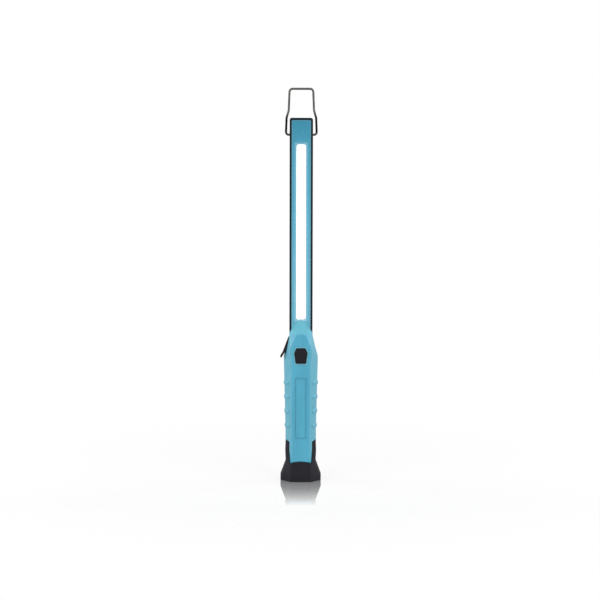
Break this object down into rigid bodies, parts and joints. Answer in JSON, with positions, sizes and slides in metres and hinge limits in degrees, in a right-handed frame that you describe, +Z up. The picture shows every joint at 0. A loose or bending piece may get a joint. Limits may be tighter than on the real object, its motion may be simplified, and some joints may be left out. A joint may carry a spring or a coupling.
{
  "type": "work light",
  "caption": "Slim hand-held work light: flat light blade with a long window on an ergonomic handle, magnetic rubber foot and a swinging wire hook.",
  "frame": {"origin": "bottom centre of the overall box: the middle of the base's standing face", "axes": "+Z up along the blade, towards the hook; +X to the right as seen from the front; the lit window and the button face -Y"},
  "size_m": [0.0461, 0.036, 0.4411],
  "materials": {
    "handle_blue": "satin light blue",
    "black_shell": "satin",
    "black_rubber": "matte, fine grain",
    "foam": "open-cell foam",
    "grey_nylon": "moulded",
    "cast_alloy": "die cast",
    "plated_steel": "nickel plated",
    "magnet": "nickel plated",
    "cell_wrap": "shrink sleeve",
    "circuit_board": "solder mask",
    "black_resin": "moulded",
    "clear_lens": "clear, smooth",
    "white_board": "white solder mask",
    "bar_aluminium": "extruded",
    "wire_steel": "drawn wire",
    "brass_bush": "turned",
    "black_steel": "black oxide",
    "lead_cover": "silicone sleeve",
    "light_strip": "glowing phosphor"
  },
  "bodies": {
    "lamp": {"front_shell": "handle_blue", "blade_fascia": "handle_blue", "rear_shell": "black_shell", "blade_channel": "black_shell", "base_boot": "black_rubber", "lens_gasket": "black_rubber", "battery_pad": "foam", "foot_plug": "grey_nylon", "battery_cradle": "grey_nylon", "end_cap": "grey_nylon", "root_block": "cast_alloy", "magnet_cup": "plated_steel", "base_magnet": "magnet", "magnet_screw": "plated_steel", "battery_cell": "cell_wrap", "battery_tabs": "plated_steel", "control_board": "circuit_board", "charge_board": "circuit_board", "driver_chip": "black_resin", "power_coil": "black_resin", "tact_switch": "black_resin", "charge_jack": "plated_steel", "cover_pin": "plated_steel", "lens": "clear_lens", "led_strip": "light_strip", "led_board": "white_board", "heat_spreader": "bar_aluminium", "bail_bushes": "brass_bush", "handle_screws": "black_steel", "root_screws": "black_steel", "board_screws": "plated_steel", "blade_screws": "black_steel", "battery_leads": "lead_cover", "lamp_leads": "lead_cover", "charge_leads": "lead_cover"},
    "hook": {"bail": "wire_steel"},
    "power_button": {"button_cap": "black_rubber", "switch_plunger": "grey_nylon"},
    "port_cover": {"charge_cover": "black_rubber"}
  },
  "joints": [
    {"name": "hook_hinge", "type": "hinge", "parent": "lamp", "child": "hook", "pos_m": [0, 0, 0.389], "axis": [1, 0, 0], "range_deg": [-160, 160]},
    {"name": "button_press", "type": "slide", "parent": "lamp", "child": "power_button", "axis": [0, 1, 0], "range_m": [0, 0.0008], "stiffness_N_per_m": 400},
    {"name": "charge_cover_hinge", "type": "hinge", "parent": "lamp", "child": "port_cover", "pos_m": [-0.0124, 0, 0.1605], "axis": [0, 1, 0], "range_deg": [0, 90]}
  ]
}
